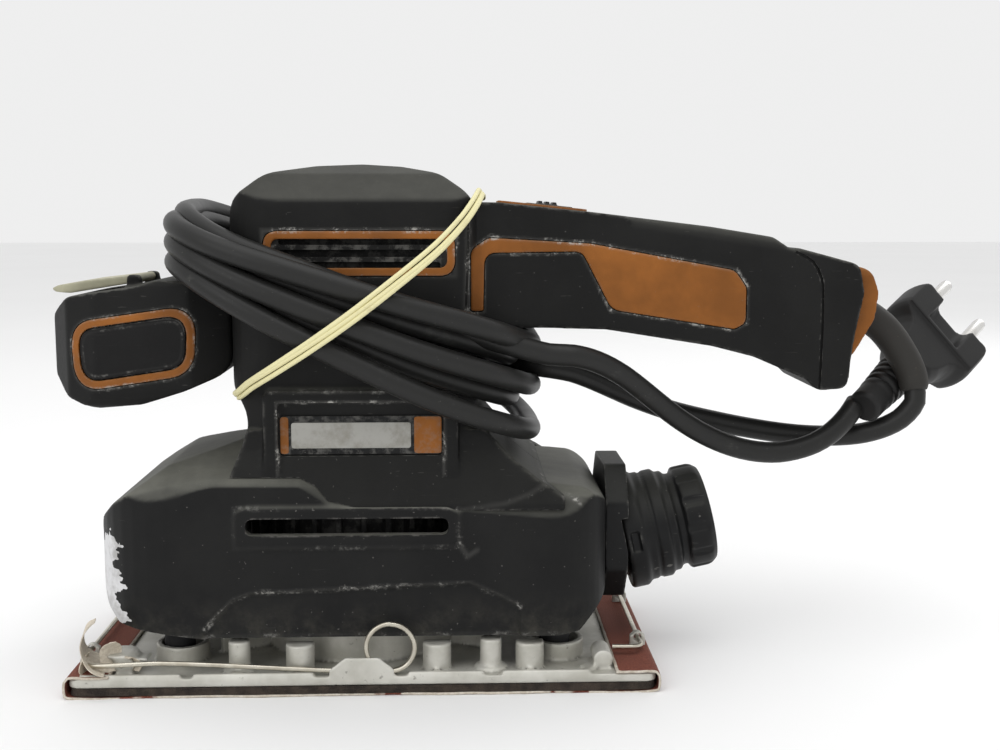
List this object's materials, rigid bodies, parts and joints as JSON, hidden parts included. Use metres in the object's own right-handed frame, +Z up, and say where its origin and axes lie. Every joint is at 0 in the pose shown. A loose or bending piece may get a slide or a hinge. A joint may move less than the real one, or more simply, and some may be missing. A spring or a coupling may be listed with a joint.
{
  "type": "orbital sander",
  "caption": "Orbital finishing sander with a rear handle, front grip, dust outlet, lever clamps for the folded sheet and a wound mains cord.",
  "frame": {"origin": "centre of the abrasive face, on the surface that the sander stands on", "axes": "+X towards the handle's end, +Y towards the sander's right side seen from behind the front grip, +Z up"},
  "size_m": [0.3328, 0.1119, 0.1682],
  "materials": {
    "body_plastic": "fine textured, dusty",
    "orange_trim": "satin, scuffed edges",
    "name_plate": "worn satin",
    "lever_grey": "matt",
    "cast_metal": "die cast, dull",
    "steel": "bright drawn",
    "copper": "enamelled winding wire",
    "brass": "pressed sheet",
    "carbon": "pressed graphite",
    "foam": "open cell foam",
    "abrasive": "coated abrasive",
    "black_rubber": "matt",
    "cord_sheath": "satin sheath",
    "elastic": "dull natural rubber"
  },
  "bodies": {
    "housing": {"motor_shell_left": "body_plastic", "motor_shell_right": "body_plastic", "shell_screw_1": "steel", "shell_screw_2": "steel", "shell_screw_3": "steel", "shell_screw_4": "steel", "vent_trim_left": "orange_trim", "vent_trim_right": "orange_trim", "handle_inlay_left": "orange_trim", "handle_inlay_right": "orange_trim", "badge_left": "name_plate", "badge_right": "name_plate", "handle_end_collar": "orange_trim", "switch_bezel": "orange_trim", "switch_block": "body_plastic", "front_grip": "body_plastic", "grip_ring_left": "orange_trim", "grip_ring_right": "orange_trim", "skirt": "body_plastic", "rubber_leg_1": "black_rubber", "rubber_leg_2": "black_rubber", "rubber_leg_3": "black_rubber", "rubber_leg_4": "black_rubber", "dust_collar": "body_plastic", "stator_core": "steel", "field_winding_lower": "copper", "field_winding_upper": "copper", "top_bearing": "steel", "lower_bearing": "steel", "brush_holder_front": "brass", "brush_holder_rear": "brass", "brush_spring_front": "steel", "brush_spring_rear": "steel", "strain_relief": "black_rubber", "cord_to_coil": "cord_sheath", "cord_to_plug": "cord_sheath", "cord_coil": "cord_sheath", "plug_body": "black_rubber", "plug_pin_1": "steel", "plug_pin_2": "steel", "elastic_band": "elastic", "cord_clamp": "body_plastic"},
    "rotor": {"rotor_shaft": "steel", "armature": "steel", "commutator": "copper", "fan": "body_plastic", "counterweight": "steel"},
    "platen": {"platen_casting": "cast_metal", "platen_bearing": "steel", "foam_pad": "foam", "sanding_sheet": "abrasive"},
    "front_lever": {"front_clamp_lever": "steel"},
    "rear_lever": {"rear_clamp_lever": "steel"},
    "switch": {"switch_slider": "body_plastic"},
    "adapter": {"dust_adapter": "body_plastic"},
    "grip_lock": {"grip_lock_lever": "lever_grey"},
    "brush_front": {"carbon_brush_front": "carbon"},
    "brush_rear": {"carbon_brush_rear": "carbon"}
  },
  "joints": [
    {"name": "rotor_spin", "type": "hinge", "parent": "housing", "child": "rotor", "pos_m": [-0.004, 0, 0.09], "axis": [0, 0, 1], "continuous": true},
    {"name": "platen_orbit", "type": "hinge", "parent": "rotor", "child": "platen", "pos_m": [-0.003, 0, 0.018], "axis": [0, 0, 1], "continuous": true},
    {"name": "rear_lever_swing", "type": "hinge", "parent": "platen", "child": "rear_lever", "pos_m": [0.0905, 0, 0.01], "axis": [0, 1, 0], "range_deg": [0, 45]},
    {"name": "front_lever_swing", "type": "hinge", "parent": "platen", "child": "front_lever", "pos_m": [-0.0905, 0, 0.01], "axis": [0, -1, 0], "range_deg": [0, 45]},
    {"name": "switch_slide", "type": "slide", "parent": "housing", "child": "switch", "axis": [-0.9949, 0, 0.1008], "range_m": [0, 0.005]},
    {"name": "adapter_twist", "type": "hinge", "parent": "housing", "child": "adapter", "pos_m": [0.084, 0, 0.0407], "axis": [0.978, 0, 0.2085], "range_deg": [0, 30]},
    {"name": "grip_lock_swing", "type": "hinge", "parent": "housing", "child": "grip_lock", "pos_m": [-0.076, 0, 0.1306], "axis": [0, 1, 0], "range_deg": [0, 75]},
    {"name": "brush_front_slide", "type": "slide", "parent": "housing", "child": "brush_front", "axis": [-1, 0, 0], "range_m": [0, 0.0015], "stiffness_N_per_m": 200, "springref_m": -0.01},
    {"name": "brush_rear_slide", "type": "slide", "parent": "housing", "child": "brush_rear", "axis": [1, 0, 0], "range_m": [0, 0.0015], "stiffness_N_per_m": 200, "springref_m": -0.01}
  ],
  "couplings": [
    {"joint": "platen_orbit", "follows": "rotor_spin", "ratio": -1}
  ]
}
